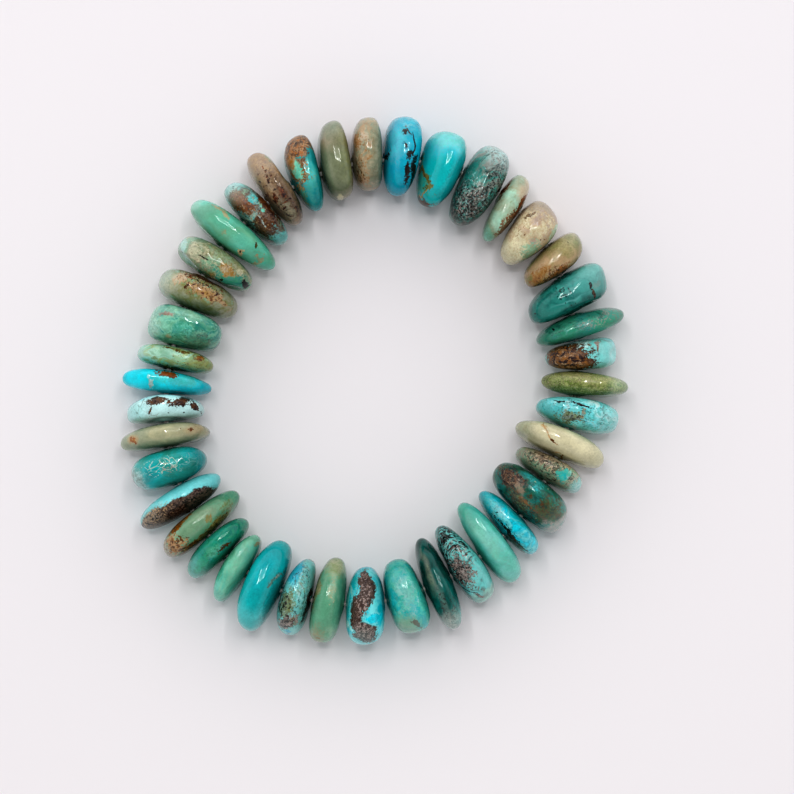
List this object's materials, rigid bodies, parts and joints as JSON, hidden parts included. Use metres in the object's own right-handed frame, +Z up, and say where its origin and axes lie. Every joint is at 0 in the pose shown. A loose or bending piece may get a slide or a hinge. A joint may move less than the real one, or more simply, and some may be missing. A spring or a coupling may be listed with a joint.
{
  "type": "gemstone bracelet",
  "caption": "Stretch bracelet of polished turquoise nuggets in blues, greens, creams and browns, strung side by side in a closed ring.",
  "frame": {"origin": "middle of the bracelet's box, at the lowest points of the stones", "axes": "+Z up through the ring as it lies flat; the ring's long way runs from lower left to upper right, at about 63 degrees from +X"},
  "size_m": [0.0848, 0.0884, 0.0126],
  "materials": {
    "sky_blue": "gloss",
    "bright_turquoise": "gloss",
    "pale_aqua": "gloss",
    "mint_green": "gloss",
    "leaf_green": "gloss",
    "deep_teal": "gloss",
    "sage_grey": "gloss",
    "olive_ochre": "gloss",
    "cream_tan": "gloss",
    "rust_brown": "gloss",
    "clear_elastic": "satin"
  },
  "bodies": {
    "root": {"stone_01": "rust_brown", "stone_02": "sage_grey", "stone_03": "cream_tan", "stone_04": "sky_blue", "stone_05": "bright_turquoise", "stone_06": "deep_teal", "stone_07": "sage_grey", "stone_08": "cream_tan", "stone_09": "olive_ochre", "stone_10": "deep_teal", "stone_11": "leaf_green", "stone_12": "pale_aqua", "stone_13": "olive_ochre", "stone_14": "pale_aqua", "stone_15": "cream_tan", "stone_16": "rust_brown", "stone_17": "deep_teal", "stone_18": "sky_blue", "stone_19": "mint_green", "stone_20": "pale_aqua", "stone_21": "deep_teal", "stone_22": "bright_turquoise", "stone_23": "bright_turquoise", "stone_24": "leaf_green", "stone_25": "pale_aqua", "stone_26": "bright_turquoise", "stone_27": "sage_grey", "stone_28": "leaf_green", "stone_29": "sage_grey", "stone_30": "rust_brown", "stone_31": "deep_teal", "stone_32": "sage_grey", "stone_33": "pale_aqua", "stone_34": "sky_blue", "stone_35": "leaf_green", "stone_36": "leaf_green", "stone_37": "sage_grey", "stone_38": "olive_ochre", "stone_39": "mint_green", "stone_40": "rust_brown", "stone_41": "rust_brown", "elastic_cord": "clear_elastic"}
  },
  "joints": []
}
